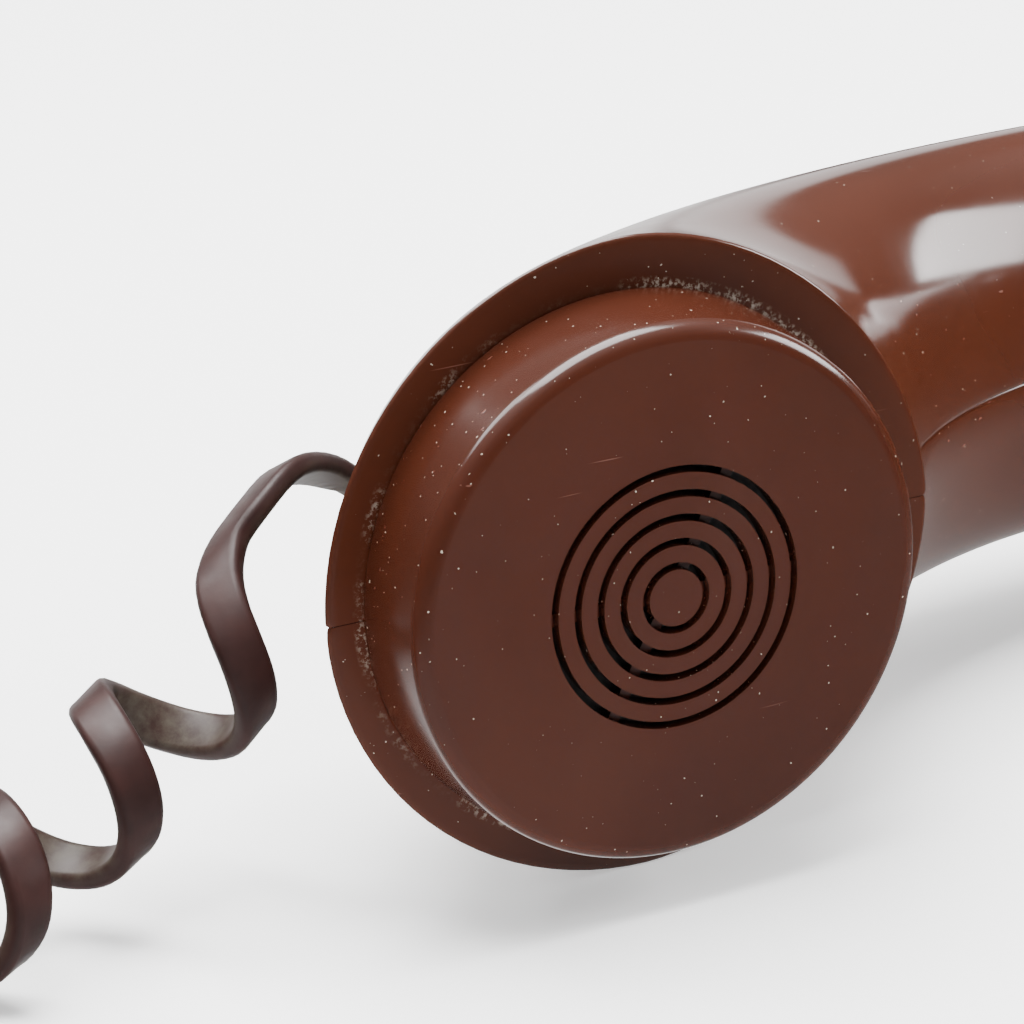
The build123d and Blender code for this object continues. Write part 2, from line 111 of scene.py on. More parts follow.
# The dust round a cap's foot, in mm: its radius, how far it spreads and how deep it lies
CREASE_R = 29.0
CREASE_DUST_WIDTH = 0.9
CREASE_DUST_DEPTH = 0.8


class Nodes:
    """A short way to build a material's node tree."""

    def __init__(self, name):
        self.material = bpy.data.materials.new(name)
        self.material.use_nodes = True
        self.tree = self.material.node_tree
        self.shader = self.tree.nodes["Principled BSDF"]

    def add(self, kind, **values):
        node = self.tree.nodes.new(kind)
        for key, value in values.items():
            if hasattr(node, key):
                setattr(node, key, value)
            else:
                node.inputs[key.replace("_", " ")].default_value = value
        return node

    def join(self, source, socket, target, entry):
        self.tree.links.new(source.outputs[socket], target.inputs[entry])

    def noise(self, scale, detail=4.0, roughness=0.55, distortion=0.0):
        """Noise in the object's own metres."""
        where = self.add("ShaderNodeTexCoord")
        noise = self.add("ShaderNodeTexNoise", Scale=scale, Detail=detail, Roughness=roughness,
                         Distortion=distortion)
        self.join(where, "Object", noise, "Vector")
        return noise

    def ramp(self, source, socket, stops):
        ramp = self.add("ShaderNodeValToRGB")
        while len(ramp.color_ramp.elements) < len(stops):
            ramp.color_ramp.elements.new(0.5)
        for element, (position, colour) in zip(ramp.color_ramp.elements, stops):
            element.position = position
            element.color = (*colour, 1.0) if hasattr(colour, "__len__") else (colour,) * 3 + (1.0,)
        self.join(source, socket, ramp, "Fac")
        return ramp

    def feed(self, source, socket):
        """Give a socket a number, a colour or the output of (node, output name)."""
        if isinstance(source, tuple) and hasattr(source[0], "outputs"):
            self.tree.links.new(source[0].outputs[source[1]], socket)
        elif isinstance(source, tuple):
            socket.default_value = (*source, 1.0)
        else:
            socket.default_value = source

    def link(self, source, entry):
        self.feed(source, self.shader.inputs[entry])

    def math(self, operation, first, second=0.0):
        node = self.add("ShaderNodeMath", operation=operation)
        self.feed(first, node.inputs[0])
        self.feed(second, node.inputs[1])
        return node, "Value"

    def fade(self, distance, reach):
        """1 at no distance, falling to 0 at the reach."""
        node = self.add("ShaderNodeMapRange")
        self.feed(distance, node.inputs["Value"])
        node.inputs["From Max"].default_value = reach
        node.inputs["To Min"].default_value = 1.0
        node.inputs["To Max"].default_value = 0.0
        return node, "Result"

    def mix(self, factor, first, second):
        """Colour mix between two colours or outputs."""
        node = self.add("ShaderNodeMix", data_type="RGBA")
        self.feed(factor, node.inputs[0])
        self.feed(first, node.inputs[6])
        self.feed(second, node.inputs[7])
        return node, 2


def scratch_mask(nodes, scale, turn, threshold):
    """Fine hairline scratches: stretched noise, only its narrow peaks."""
    where = nodes.add("ShaderNodeTexCoord")
    mapping = nodes.add("ShaderNodeMapping")
    mapping.inputs["Rotation"].default_value = turn
    mapping.inputs["Scale"].default_value = (1.0, 28.0, 28.0)
    nodes.join(where, "Object", mapping, "Vector")
    noise = nodes.add("ShaderNodeTexNoise", Scale=scale, Detail=2.0, Roughness=0.5)
    nodes.join(mapping, "Vector", noise, "Vector")
    return nodes.ramp(noise, "Fac", [(threshold, 0.0), (threshold + 0.035, 1.0)])


def crease_dust(nodes):
    """Mask of the dust that lies round each cap's foot, from the distance to the cap's axis."""
    where = nodes.add("ShaderNodeTexCoord")
    split = nodes.add("ShaderNodeSeparateXYZ")
    nodes.join(where, "Object", split, "Vector")
    mirrored = nodes.math("ABSOLUTE", (split, "X"))
    across = nodes.math("SUBTRACT", mirrored, abs(CAP_AXIS_X))
    height = nodes.math("SUBTRACT", (split, "Z"), MID_Z)
    radius = nodes.math("SQRT", nodes.math("ADD", nodes.math("POWER", across, 2.0),
                                           nodes.math("POWER", height, 2.0)))
    from_foot = nodes.math("ABSOLUTE", nodes.math("SUBTRACT", radius, CREASE_R * MM))
    near_foot = nodes.fade(from_foot, CREASE_DUST_WIDTH * MM)
    from_face = nodes.math("ABSOLUTE", nodes.math("SUBTRACT", (split, "Y"), RIM_Y))
    on_face = nodes.fade(from_face, CREASE_DUST_DEPTH * MM)
    lint = nodes.noise(1500.0, detail=5.0, roughness=0.75)
    patches = nodes.noise(90.0, detail=2.0, roughness=0.5)
    lint_mask = nodes.ramp(lint, "Fac", [(0.50, 0.0), (0.58, 1.0)])
    patch_mask = nodes.ramp(patches, "Fac", [(0.46, 0.02), (0.66, 0.75)])
    placed = nodes.math("MULTIPLY", near_foot, on_face)
    broken = nodes.math("MULTIPLY", (lint_mask, "Color"), (patch_mask, "Color"))
    return nodes.math("MULTIPLY", placed, broken)


def brown_plastic(name, base, light, roughness, dust_amount, dusty_crease=False):
    """Glossy moulded plastic: faint flow marks, smears, hairline scratches and dust specks."""
    nodes = Nodes(name)
    drift = nodes.noise(22.0, detail=3.0, roughness=0.5, distortion=0.4)
    tone = nodes.ramp(drift, "Fac", [(0.35, base), (0.7, light)])
    specks = nodes.noise(2600.0, detail=1.0, roughness=0.3)
    speck_mask = nodes.ramp(specks, "Fac", [(dust_amount, 0.0), (dust_amount + 0.03, 1.0)])
    scratches = scratch_mask(nodes, 46.0, (0.3, 0.5, 0.7), 0.735)
    dusty = nodes.mix((speck_mask, "Color"), (tone, "Color"), DUST_COLOUR)
    scratch_colour = tuple(channel * 2.0 + 0.02 for channel in light)
    marked = nodes.mix((scratches, "Color"), dusty, scratch_colour)
    if dusty_crease:
        marked = nodes.mix(crease_dust(nodes), marked, DUST_COLOUR)
    nodes.link(marked, "Base Color")
    smear = nodes.noise(60.0, detail=5.0, roughness=0.6, distortion=0.8)
    gloss = nodes.ramp(smear, "Fac", [(0.3, roughness), (0.75, roughness + 0.09)])
    nodes.join(gloss, "Color", nodes.shader, "Roughness")
    grain = nodes.noise(900.0, detail=3.0, roughness=0.6)
    bump = nodes.add("ShaderNodeBump", Strength=0.01, Distance=0.0002)
    nodes.join(grain, "Fac", bump, "Height")
    fine = nodes.add("ShaderNodeBump", Strength=0.08, Distance=0.00012)
    nodes.join(scratches, "Color", fine, "Height")
    nodes.join(bump, "Normal", fine, "Normal")
    nodes.join(fine, "Normal", nodes.shader, "Normal")
    nodes.shader.inputs["IOR"].default_value = 1.47
    return nodes.material


def cord_plastic():
    """Flexible purple-brown cord: satin, with grey-green dust settled inside its turns."""
    nodes = Nodes("cord_skin")
    drift = nodes.noise(150.0, detail=4.0, roughness=0.6)
    tone = nodes.ramp(drift, "Fac", [(0.3, (0.019, 0.0070, 0.0062)), (0.75, (0.037, 0.0140, 0.0120))])
    film = nodes.noise(420.0, detail=5.0, roughness=0.7)
    film_mask = nodes.ramp(film, "Fac", [(0.38, 0.15), (0.72, 0.75)])
    inner = nodes.add("ShaderNodeAttribute", attribute_name="inside")
    inside = nodes.math("MULTIPLY", (film_mask, "Color"), (inner, "Fac"))
    nodes.link(nodes.mix(inside, (tone, "Color"), (0.090, 0.078, 0.060)), "Base Color")
    gloss = nodes.ramp(film, "Fac", [(0.3, 0.36), (0.8, 0.52)])
    nodes.join(gloss, "Color", nodes.shader, "Roughness")
    bump = nodes.add("ShaderNodeBump", Strength=0.12, Distance=0.0002)
    nodes.join(film, "Fac", bump, "Height")
    nodes.join(bump, "Normal", nodes.shader, "Normal")
    nodes.shader.inputs["Specular IOR Level"].default_value = 0.26
    return nodes.material


def simple_surface(name, dark, light, roughness, scale, metallic=0.0, bump_strength=0.1):
    """A surface whose colour and gloss drift, for small and inner pieces."""
    nodes = Nodes(name)
    drift = nodes.noise(scale, detail=5.0, roughness=0.6)
    tone = nodes.ramp(drift, "Fac", [(0.3, dark), (0.75, light)])
    nodes.join(tone, "Color", nodes.shader, "Base Color")
    gloss = nodes.ramp(drift, "Fac", [(0.3, roughness), (0.8, min(1.0, roughness + 0.15))])
    nodes.join(gloss, "Color", nodes.shader, "Roughness")
    nodes.shader.inputs["Metallic"].default_value = metallic
    bump = nodes.add("ShaderNodeBump", Strength=bump_strength, Distance=0.0002)
    nodes.join(drift, "Fac", bump, "Height")
    nodes.join(bump, "Normal", nodes.shader, "Normal")
    return nodes.material


def clear_plastic():
    """The plug's clear moulding, faintly clouded and scuffed."""
    nodes = Nodes("plug_clear")
    scuff = nodes.noise(700.0, detail=5.0, roughness=0.65)
    tone = nodes.ramp(scuff, "Fac", [(0.3, (0.72, 0.71, 0.67)), (0.8, (0.86, 0.85, 0.82))])
    nodes.join(tone, "Color", nodes.shader, "Base Color")
    gloss = nodes.ramp(scuff, "Fac", [(0.3, 0.08), (0.8, 0.24)])
    nodes.join(gloss, "Color", nodes.shader, "Roughness")
    nodes.shader.inputs["Transmission Weight"].default_value = 0.75
    nodes.shader.inputs["IOR"].default_value = 1.49
    return nodes.material


def make_materials():
    return {
        "shell": brown_plastic("shell_brown", (0.042, 0.0112, 0.0054), (0.055, 0.0148, 0.0074),
                               0.09, 0.80, dusty_crease=True),
        "cap": brown_plastic("cap_brown", (0.036, 0.0085, 0.0038), (0.048, 0.0118, 0.0056),
                             0.15, 0.775),
        "seal": simple_surface("seal_rubber", (0.012, 0.012, 0.012), (0.03, 0.03, 0.03), 0.6, 300.0),
        "screen_cloth": simple_surface("screen_cloth", (0.010, 0.009, 0.009), (0.035, 0.032, 0.030),
                                       0.85, 1800.0, bump_strength=0.6),
        "capsule_metal": simple_surface("capsule_metal", (0.42, 0.42, 0.41), (0.58, 0.58, 0.57),
                                        0.32, 400.0, metallic=1.0),
        "diaphragm": simple_surface("diaphragm_foil", (0.55, 0.55, 0.53), (0.7, 0.7, 0.68),
                                    0.25, 300.0, metallic=1.0),
        "holder_plastic": simple_surface("holder_plastic", (0.05, 0.035, 0.03), (0.09, 0.065, 0.05),
                                         0.5, 350.0),
        "contact_brass": simple_surface("contact_brass", (0.62, 0.44, 0.16), (0.8, 0.62, 0.28),
                                        0.22, 900.0, metallic=1.0),
        "magnet_steel": simple_surface("magnet_steel", (0.28, 0.28, 0.29), (0.42, 0.42, 0.43),
                                       0.35, 500.0, metallic=1.0),
        "coil_copper": simple_surface("coil_copper", (0.45, 0.18, 0.07), (0.66, 0.3, 0.14),
                                      0.3, 1200.0, metallic=1.0),
        "lead_insulation": simple_surface("lead_insulation", (0.5, 0.44, 0.3), (0.66, 0.6, 0.44),
                                          0.5, 500.0),
        "screw_steel": simple_surface("screw_steel", (0.42, 0.42, 0.42), (0.6, 0.6, 0.6),
                                      0.28, 800.0, metallic=1.0),
        "cord_rubber": simple_surface("grommet_rubber", (0.022, 0.010, 0.010), (0.045, 0.022, 0.020),
                                      0.5, 500.0),
        "cord": cord_plastic(),
        "plug_plastic": clear_plastic(),
    }


def paint(obj, material):
    """Give an object one material and no other."""
    obj.data.materials.clear()
    obj.data.materials.append(material)


# ---------------------------------------------------------------- shells
# The part's own body, in mm: each line is an arc of a superellipse, as (x at the rim, depth
# at mid-handle, how far its centre stands in front of the rim, roundness).
INNER_ARC = (36.0, 27.2, 0.0, 1.72)
OUTER_ARC = (-32.6, 55.5, 26.0, 2.0)
RIM_HALF_WIDTH = 33.99
HANDLE_HALF_WIDTH = 24.2
RIM_ROUNDNESS = (1.84, 1.96)
HANDLE_ROUNDNESS = 2.2
WIDTH_EASE = 1.8
ROUNDNESS_EASE = 2.0
OUTER_LAG = 1.4
SPAN = -CAP_AXIS_X / MM

BORE_R = 24.1
BORE_DEPTH = 6.4
SKIN_THICKNESS = 1.5
# The wall thins to this share at the rim's edge, and is whole again this many rows behind it
EDGE_SHARE = 0.12
THINNED_ROWS = 8
BODY_ROWS = 70
BODY_COLUMNS = 44
# The first row behind the rim's edge, and how far the rows crowd towards it
FIRST_ROW = 0.014
ROW_CROWDING = 1.25
# The bore's rows, as how far outside the bore and how far behind the rim's face
BORE_EDGE = [(0.0, 0.4), (0.4, 0.0), (0.7, 0.0)]
SHARP_ANGLE = radians(50.0)
# Rows beside the seam: height above it, and how far the upper and the lower shell stand in
SEAM_ROWS = [(0.04, 0.22, 0.34), (0.18, 0.04, 0.22), (0.50, 0.0, 0.12), (1.4, 0.0, 0.04), (3.0, 0.0, 0.0)]
# The rim's rounded edge, as how far in from the outline and how far behind the rim's face
RIM_EDGE = [(0.90, 0.0), (0.45, 0.0), (0.22, 0.05), (0.07, 0.16), (0.0, 0.34)]


def body_line(arc, share):
    """Point on a line of the body, a share of the way from the rim to mid-handle, in mm."""
    rim_x, top, drop, roundness = arc
    first = asin((drop / (top + drop)) ** (roundness / 2))
    turn = first + (pi / 2 - first) * share
    reach = (SPAN - rim_x) / cos(first) ** (2 / roundness)
    return (SPAN - reach * cos(turn) ** (2 / roundness),
            (top + drop) * sin(turn) ** (2 / roundness) - drop)


def eased(rim_value, handle_value, share, ease):
    """A value that eases from the rim's to the handle's, a share of the way along."""
    return handle_value + (rim_value - handle_value) * (1 - share) ** ease


def half_section(share, side, inset=0.0, lift=0.0):
    """Points round one shell's half of a section, from its inner to its outer seam, in mm."""
    inner = body_line(INNER_ARC, share)
    outer = body_line(OUTER_ARC, share ** OUTER_LAG)
    width = eased(RIM_HALF_WIDTH, HANDLE_HALF_WIDTH, share, WIDTH_EASE)
    middle = ((inner[0] + outer[0]) / 2, (inner[1] + outer[1]) / 2)
    half = ((inner[0] - outer[0]) / 2, (inner[1] - outer[1]) / 2)
    half_length = dist(inner, outer) / 2
    rounding = [eased(value, HANDLE_ROUNDNESS, share, ROUNDNESS_EASE) for value in RIM_ROUNDNESS]
    from_seam = [(asin((height / width) ** (rounding[0] / 2)), insets[side < 0])
                 for height, *insets in SEAM_ROWS]
    to_seam = [(pi - asin((height / width) ** (rounding[1] / 2)), insets[side < 0])
               for height, *insets in reversed(SEAM_ROWS)]
    first, last = from_seam[-1][0], to_seam[0][0]
    between = [(first + (last - first) * step / BODY_COLUMNS, 0.0) for step in range(1, BODY_COLUMNS)]
    points = []
    for angle, seam_inset in from_seam + between + to_seam:
        exponent = 2 / (rounding[0] if cos(angle) > 0 else rounding[1])
        along = copysign(abs(cos(angle)) ** exponent, cos(angle)) * (1 - (inset + seam_inset) / half_length)
        height = sin(angle) ** exponent * (width - inset)
        points.append((middle[0] + half[0] * along, middle[1] + half[1] * along + lift, side * height))
    return points


def bore_ring(radius, depth, side):
    """Points of a cap's bore, one beside each point of the rim's section, in mm."""
    ring = []
    for x, _, height in half_section(0.0, side):
        angle = atan2(height, x)
        ring.append((radius * cos(angle), depth, radius * sin(angle)))
    return ring


def make_shell(name, node, side, material):
    """One half of the moulding: bore, rim face with a rounded edge, flare and handle."""
    rows = [bore_ring(BORE_R, BORE_DEPTH, side)]
    rows += [bore_ring(BORE_R + outside, depth, side) for outside, depth in BORE_EDGE]
    shares = [1.0] * len(rows) + [EDGE_SHARE] * len(RIM_EDGE)
    rows += [half_section(0.0, side, inset, lift) for inset, lift in RIM_EDGE]
    for step in range(1, BODY_ROWS + 1):
        along = FIRST_ROW + (1 - FIRST_ROW) * (step / BODY_ROWS) ** ROW_CROWDING
        rows.append(half_section(along, side))
        shares.append(min(1.0, EDGE_SHARE + (1 - EDGE_SHARE) * step / THINNED_ROWS))
    whole = [[place(x, y, MID_Z / MM + z) for x, y, z in row] for row in rows]
    for row in reversed(whole[:-1]):
        whole.append([Vector((-point.x, point.y, point.z)) for point in row])
    count = len(whole[0])
    faces = []
    for row in range(len(whole) - 1):
        for column in range(count - 1):
            here = row * count + column
            faces.append((here, here + 1, here + count + 1, here + count))
    shell = mesh_object(name, [point for row in whole for point in row], faces)
    outward = (shell.data.polygons[len(faces) // 2 + count // 2].normal.z > 0) == (side > 0)
    if not outward:
        shell.data.flip_normals()
    wall = shell.vertex_groups.new(name="wall")
    for row, share in enumerate(shares + shares[-2::-1]):
        wall.add(range(row * count, (row + 1) * count), share, "REPLACE")
    thick = shell.modifiers.new("wall", "SOLIDIFY")
    thick.vertex_group = wall.name
    thick.thickness = SKIN_THICKNESS * MM
    thick.offset = -1.0
    apply_modifiers(shell)
    shell.data.set_sharp_from_angle(angle=SHARP_ANGLE)
    paint(shell, material)
    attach(shell, "handset")
    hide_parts(node)
    return shell


def apply_modifiers(obj):
    """Replace an object's mesh with its modified one."""
    bpy.context.view_layer.update()
    evaluated = obj.evaluated_get(bpy.context.evaluated_depsgraph_get())
    mesh = bpy.data.meshes.new_from_object(evaluated)
    obj.modifiers.clear()
    obj.data = mesh


# ---------------------------------------------------------------- cord
RIBBON_WIDTH = 5.0
RIBBON_THICKNESS = 2.3
RIBBON_CORNER = 0.8
HELIX_R = 7.0
POINTS_PER_TURN = 16
# Longest step along the axis between two points, in mm, and how finely turns are looked up
MAX_STEP = 2.5
TURN_SAMPLES = 8000
DRAWN_OUT_PITCH = 17.5
CLOSED_PITCH = 5.8
FIRST_PHASE = -0.05
RIBBON_STEPS = 4
# Distances along the coil's axis where the turns begin, reach the drawn-out pitch, begin to
# close up and are closed, and the length at the end over which they open into the far tail
TURNS_BEGIN = 3.0
TURNS_EASE = 14.0
CLOSING_BEGINS = 60.0
CLOSING_EASE = 24.0
END_EASE = 12.0

# The coil's axis, the part's own route. Its first points stand a few millimetres from the
# solid's, where the real cord hangs over to its first turns.
COIL_ROUTE = [(-26.0, 21.5, 34.0), (-37.0, 19.0, 25.0), (-47.0, 17.0, 18.0), (-57.5, 14.0, 13.0),
              (-67.5, 9.0, 10.5), (-79.0, 3.0, 8.4), (-94.0, -2.6, 8.4), (-116.0, -3.0, 8.4),
              (-138.0, -1.0, 8.4), (-157.0, 6.0, 8.4), (-169.0, 20.5, 8.4), (-171.0, 38.0, 8.4),
              (-161.0, 53.5, 8.4), (-143.0, 61.5, 8.4), (-122.0, 64.0, 8.4), (-106.0, 62.5, 8.4),
              (-92.5, 58.5, 8.4), (-83.5, 49.0, 8.4), (-81.5, 36.5, 8.4), (-87.0, 25.5, 8.4),
              (-97.5, 20.5, 8.4), (-111.0, 22.0, 8.4), (-126.0, 22.0, 8.4)]
# From the grommet to the first arch: points of the ribbon's middle and the way its flat
# outer side faces there
TAIL_ROUTE = [(-12.6, 30.4, 34.0), (-14.4, 32.6, 34.6), (-17.4, 32.4, 37.2), (-21.5, 29.8, 39.6),
              (-26.0, 26.0, 41.0)]
TAIL_OUTWARD = (-0.1, 0.15, 0.98)
# Points of a spline for each control point, and how far beside the middle line the outward
# line runs, in mm: the two match point for point, and turn the ribbon
AXIS_RESOLUTION = 24
CORD_RESOLUTION = 3
BESIDE = 2


def spline_points(name, route, resolution):
    """Points of the smooth NURBS line that has the route as its control points."""
    curve = bpy.data.curves.new(name, "CURVE")
    curve.dimensions = "3D"
    spline = curve.splines.new("NURBS")
    spline.points.add(len(route) - 1)
    for point, control in zip(spline.points, route):
        point.co = (*control, 1.0)
    spline.order_u = 3
    spline.use_endpoint_u = True
    spline.resolution_u = resolution
    holder = link(bpy.data.objects.new(name, curve))
    bpy.context.view_layer.update()
    mesh = bpy.data.meshes.new_from_object(holder)
    points = [vertex.co.copy() for vertex in mesh.vertices]
    bpy.data.objects.remove(holder)
    bpy.data.curves.remove(curve)
    bpy.data.meshes.remove(mesh)
    return points


def distances(points):
    """How far along the line each point lies."""
    total, along = 0.0, [0.0]
    for before, after in zip(points, points[1:]):
        total += (after - before).length
        along.append(total)
    return along


def ramped(distance, start, ease, rate_before, rate_after):
    """Turns made past a start while the rate goes evenly from one value to another, then stays."""
    past = max(0.0, distance - start)
    eased_part = min(past, ease)
    change = (rate_after - rate_before) * eased_part * eased_part / (2 * ease)
    return rate_before * eased_part + change + rate_after * max(0.0, past - ease)


def turns_by(distance, length, closed_rate):
    """Turns made by a distance along the coil's axis."""
    drawn_rate = 1 / DRAWN_OUT_PITCH
    end_start = length - END_EASE
    turns = ramped(min(distance, CLOSING_BEGINS), TURNS_BEGIN, TURNS_EASE, 0.0, drawn_rate)
    turns += ramped(min(distance, end_start), CLOSING_BEGINS, CLOSING_EASE, drawn_rate, closed_rate)
    turns += ramped(distance, end_start, END_EASE, closed_rate, 0.0)
    return FIRST_PHASE + turns


def end_on_the_floor(length):
    """Closed rate, near the closed pitch, with which the last turn ends at its lowest point."""
    low, high = 0.9 / CLOSED_PITCH, 1.1 / CLOSED_PITCH
    wanted = floor(turns_by(length, length, 1 / CLOSED_PITCH)) + 0.5
    for _ in range(40):
        middle = (low + high) / 2
        if turns_by(length, length, middle) < wanted:
            low = middle
        else:
            high = middle
    return middle


def helix(axis_points):
    """Helix points and the outward direction at each, spaced evenly in turns."""
    along = distances(axis_points)
    length = along[-1] / MM
    closed_rate = end_on_the_floor(length)
    samples = [length * index / TURN_SAMPLES for index in range(TURN_SAMPLES + 1)]
    marks = [turns_by(sample, length, closed_rate) for sample in samples]
    step_count = round((marks[-1] - marks[0]) * POINTS_PER_TURN)
    middles, outwards = [], []
    cursor, segment, last_distance = 0, 0, -MAX_STEP
    for step in range(step_count + 1):
        wanted = marks[0] + (marks[-1] - marks[0]) * step / step_count
        while cursor < len(marks) - 1 and marks[cursor] < wanted - 1e-6:
            cursor += 1
        # Where the turns stand still the points still follow the axis
        while samples[cursor] - last_distance > 2 * MAX_STEP:
            last_distance += MAX_STEP
            segment = add_helix_point(axis_points, along, segment, last_distance,
                                      turns_by(last_distance, length, closed_rate), middles, outwards)
        last_distance = samples[cursor]
        segment = add_helix_point(axis_points, along, segment, last_distance, wanted, middles, outwards)
    return middles, outwards


def add_helix_point(axis_points, along, segment, distance, turns, middles, outwards):
    """Add the ribbon's point at a distance along the axis, and return the axis segment there."""
    reach = distance * MM
    while segment < len(along) - 2 and along[segment + 1] < reach:
        segment += 1
    share = (reach - along[segment]) / max(1e-9, along[segment + 1] - along[segment])
    middle = axis_points[segment].lerp(axis_points[segment + 1], min(1.0, max(0.0, share)))
    low, high = max(0, segment - 2), min(len(axis_points) - 1, segment + 3)
    forward = (axis_points[high] - axis_points[low]).normalized()
    rise = Vector((0, 0, 1))
    rise = (rise - forward * rise.dot(forward)).normalized()
    side = rise.cross(forward)
    outward = cos(tau * turns) * rise + sin(tau * turns) * side
    middles.append(middle + outward * HELIX_R * MM)
    outwards.append(outward)
    return segment


def rounded_section():
    """The ribbon's cross-section, (across, out) in mm: a flat strip with full round edges."""
    across = RIBBON_WIDTH / 2 - RIBBON_CORNER
    out = RIBBON_THICKNESS / 2 - RIBBON_CORNER
    outline = []
    for quarter, (x, y) in enumerate([(across, out), (-across, out), (-across, -out), (across, -out)]):
        for step in range(RIBBON_STEPS):
            angle = radians(90.0 * (quarter + step / (RIBBON_STEPS - 1)))
            outline.append((x + RIBBON_CORNER * cos(angle), y + RIBBON_CORNER * sin(angle)))
    return outline


def cord_line():
    """The ribbon's middle line from the grommet to the plug, and a line beside it on its outer side."""
    axis = spline_points("coil_axis", [place(*p) for p in COIL_ROUTE], AXIS_RESOLUTION)
    middles, outwards = helix(axis)
    tail = [place(*p) for p in TAIL_ROUTE]
    tail_outwards = [Vector(TAIL_OUTWARD).lerp(outwards[0], step / len(tail)).normalized()
                     for step in range(len(tail))]
    plug_low, plug_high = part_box("plug_body")
    plug_y = (plug_low.y + plug_high.y) / 2
    plug_z = (plug_low.z + plug_high.z) / 2
    end = middles[-1]
    # From the coil's last turn into the plug's back
    far = [Vector((end.x - 3.0 * MM, end.y, end.z + 0.1 * MM)),
           Vector((end.x + (plug_high.x - end.x) * 0.65, plug_y, plug_z)),
           Vector((plug_high.x - 0.2 * MM, plug_y, plug_z))]
    controls = tail + middles + far
    outward_controls = tail_outwards + outwards + [Vector((0, 0, -1))] * len(far)
    beside_controls = [point + outward * BESIDE * MM for point, outward in zip(controls, outward_controls)]
    return (spline_points("cord_middle", controls, CORD_RESOLUTION),
            spline_points("cord_outward", beside_controls, CORD_RESOLUTION))


def make_cord(material):
    """The flat ribbon: straight out of the grommet, over, round its turns and into the plug."""
    centre, beside = cord_line()
    section = rounded_section()
    points, inside, faces = [], [], []
    for index, middle in enumerate(centre):
        low, high = max(0, index - 1), min(len(centre) - 1, index + 1)
        forward = (centre[high] - centre[low]).normalized()
        out = beside[index] - middle
        out = (out - forward * out.dot(forward)).normalized()
        across = forward.cross(out)
        for across_mm, out_mm in section:
            points.append(middle + across * across_mm * MM + out * out_mm * MM)
            inside.append(max(0.0, -out_mm / (RIBBON_THICKNESS / 2)))
    ring = len(section)
    for index in range(len(centre) - 1):
        for step in range(ring):
            here, following = index * ring + step, index * ring + (step + 1) % ring
            faces.append((here, following, following + ring, here + ring))
    faces.append(tuple(reversed(range(ring))))
    faces.append(tuple(range(len(points) - ring, len(points))))
    cord = mesh_object("curly_cord_ribbon", points, faces)
    bm = bmesh.new()
    bm.from_mesh(cord.data)
    bmesh.ops.recalc_face_normals(bm, faces=bm.faces)
    bm.to_mesh(cord.data)
    bm.free()
    attribute = cord.data.attributes.new("inside", "FLOAT", "POINT")
    attribute.data.foreach_set("value", inside)
    paint(cord, material)
    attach(cord, "handset")
    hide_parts("cord_tail", "curly_cord", "cord_far_tail")
    length = distances(centre)[-1]
    return cord


# ---------------------------------------------------------------- stage
# The floor, in metres: how far it reaches, and where and how it curves up into a backdrop
FLOOR_REACH = 9.0
SWEEP_BEGINS = 1.2
SWEEP_R = 0.6
SWEEP_STEPS = 12
BACKDROP_TOP = 2.4
# Between which parts of a direction the surround's pale card fades in: Y of its face, Z of its
# top, Z of its foot, the X left of which it has no foot, and X of its left edge
CARD_BEGINS = (0.42, 0.50)
CARD_TOP = (0.27, 0.22)
CARD_FOOT = (-0.06, -0.01)
CARD_REACHES_DOWN = (0.48, 0.44)
CARD_LEFT_EDGE = (-0.55, -0.40)
# The rest of the surround, as the height Z of a direction and its grey
SURROUND_LEVELS = [(-0.45, 0.30), (-0.26, 0.02), (0.05, 0.02), (0.6, 0.22), (1.0, 0.9)]
SURROUND_STRENGTH = 1.8


def make_stage():
    """A plain pale floor that curves up into a backdrop."""
    nodes = Nodes("paper_white")
    nodes.shader.inputs["Base Color"].default_value = (0.97, 0.97, 0.97, 1.0)
    nodes.shader.inputs["Roughness"].default_value = 0.9
    nodes.shader.inputs["Specular IOR Level"].default_value = 0.1
    nodes.shader.inputs["Emission Color"].default_value = (1.0, 1.0, 1.0, 1.0)
    nodes.shader.inputs["Emission Strength"].default_value = 0.5
    profile = [(-FLOOR_REACH, 0.0), (SWEEP_BEGINS, 0.0)]
    for step in range(1, SWEEP_STEPS + 1):
        angle = radians(90.0 * step / SWEEP_STEPS)
        profile.append((SWEEP_BEGINS + SWEEP_R * sin(angle), SWEEP_R * (1 - cos(angle))))
    profile.append((SWEEP_BEGINS + SWEEP_R, BACKDROP_TOP))
    points = [(x, y, z) for y, z in profile for x in (-FLOOR_REACH, FLOOR_REACH)]
    faces = [(2 * i, 2 * i + 1, 2 * i + 3, 2 * i + 2) for i in range(len(profile) - 1)]
    floor_sheet = mesh_object("floor", points, faces)
    paint(floor_sheet, nodes.material)
    floor_sheet.visible_glossy = False


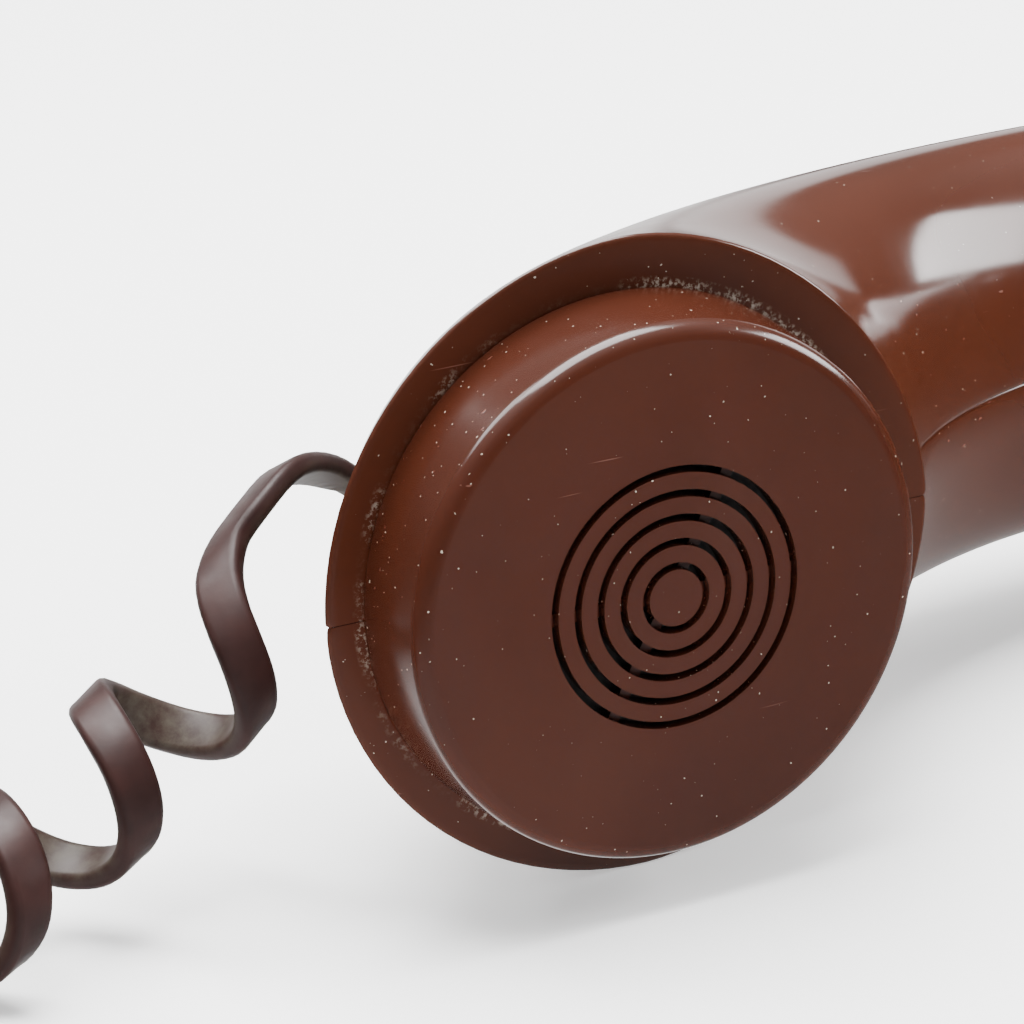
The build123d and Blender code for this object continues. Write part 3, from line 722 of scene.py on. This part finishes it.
def make_surround():
    """A studio surround: dark round the horizon, a pale card behind, paler above and far below."""
    world = bpy.data.worlds.new("surround")
    world.use_nodes = True
    tree = world.node_tree
    where = tree.nodes.new("ShaderNodeTexCoord")
    split = tree.nodes.new("ShaderNodeSeparateXYZ")
    tree.links.new(where.outputs["Generated"], split.inputs[0])

    def between(output, low, high):
        node = tree.nodes.new("ShaderNodeMapRange")
        tree.links.new(split.outputs[output], node.inputs["Value"])
        node.inputs["From Min"].default_value = low
        node.inputs["From Max"].default_value = high
        return node

    foot = tree.nodes.new("ShaderNodeMath")
    foot.operation = "MAXIMUM"
    tree.links.new(between("Z", *CARD_FOOT).outputs[0], foot.inputs[0])
    tree.links.new(between("X", *CARD_REACHES_DOWN).outputs[0], foot.inputs[1])
    card = between("Y", *CARD_BEGINS)
    for edge in (between("Z", *CARD_TOP), between("X", *CARD_LEFT_EDGE), foot):
        product = tree.nodes.new("ShaderNodeMath")
        product.operation = "MULTIPLY"
        tree.links.new(card.outputs[0], product.inputs[0])
        tree.links.new(edge.outputs[0], product.inputs[1])
        card = product
    height = between("Z", -1.0, 1.0)
    ramp = tree.nodes.new("ShaderNodeValToRGB")
    while len(ramp.color_ramp.elements) < len(SURROUND_LEVELS):
        ramp.color_ramp.elements.new(0.5)
    tree.links.new(height.outputs[0], ramp.inputs[0])
    for element, (level, grey) in zip(ramp.color_ramp.elements, SURROUND_LEVELS):
        element.position = (level + 1) / 2
        element.color = (grey, grey, grey, 1.0)
    shade = tree.nodes.new("ShaderNodeMix")
    shade.data_type = "RGBA"
    tree.links.new(card.outputs[0], shade.inputs[0])
    tree.links.new(ramp.outputs["Color"], shade.inputs[6])
    shade.inputs[7].default_value = (1.0, 1.0, 1.0, 1.0)
    background = tree.nodes["Background"]
    tree.links.new(shade.outputs[2], background.inputs["Color"])
    background.inputs["Strength"].default_value = SURROUND_STRENGTH
    bpy.context.scene.world = world


def soft_box(name, location, aim, size, power):
    """A rectangular light, in metres and watts, turned to face its aim."""
    data = bpy.data.lights.new(name, "AREA")
    data.shape = "RECTANGLE"
    data.size, data.size_y = size
    data.energy = power
    lamp = link(bpy.data.objects.new(name, data))
    lamp.location = location
    lamp.rotation_mode = "QUATERNION"
    lamp.rotation_quaternion = (Vector(aim) - Vector(location)).to_track_quat("-Z", "Y")


def make_lights():
    soft_box("box_right", (0.78, -0.20, 0.40), (-0.02, 0.0, 0.04), (0.48, 0.36), 10.5)
    soft_box("box_left", (-0.55, 0.55, 0.8), (-0.05, 0.0, 0.03), (0.4, 0.4), 6.0)
    soft_box("box_top", (-0.05, 0.15, 1.05), (0.0, 0.0, 0.0), (0.9, 0.8), 42.0)


# ---------------------------------------------------------------- assembly
make_camera()
make_stage()
make_surround()
make_lights()
materials = make_materials()
slots = {entry["node"]: entry["material_slot"] for entry in frame["record"]["subparts"]}
for node, obj in frame["nodes"].items():
    paint(obj, materials[slots[node]])
make_shell("upper_moulding", "upper_shell", 1, materials["shell"])
make_shell("lower_moulding", "lower_shell", -1, materials["shell"])
make_cord(materials["cord"])
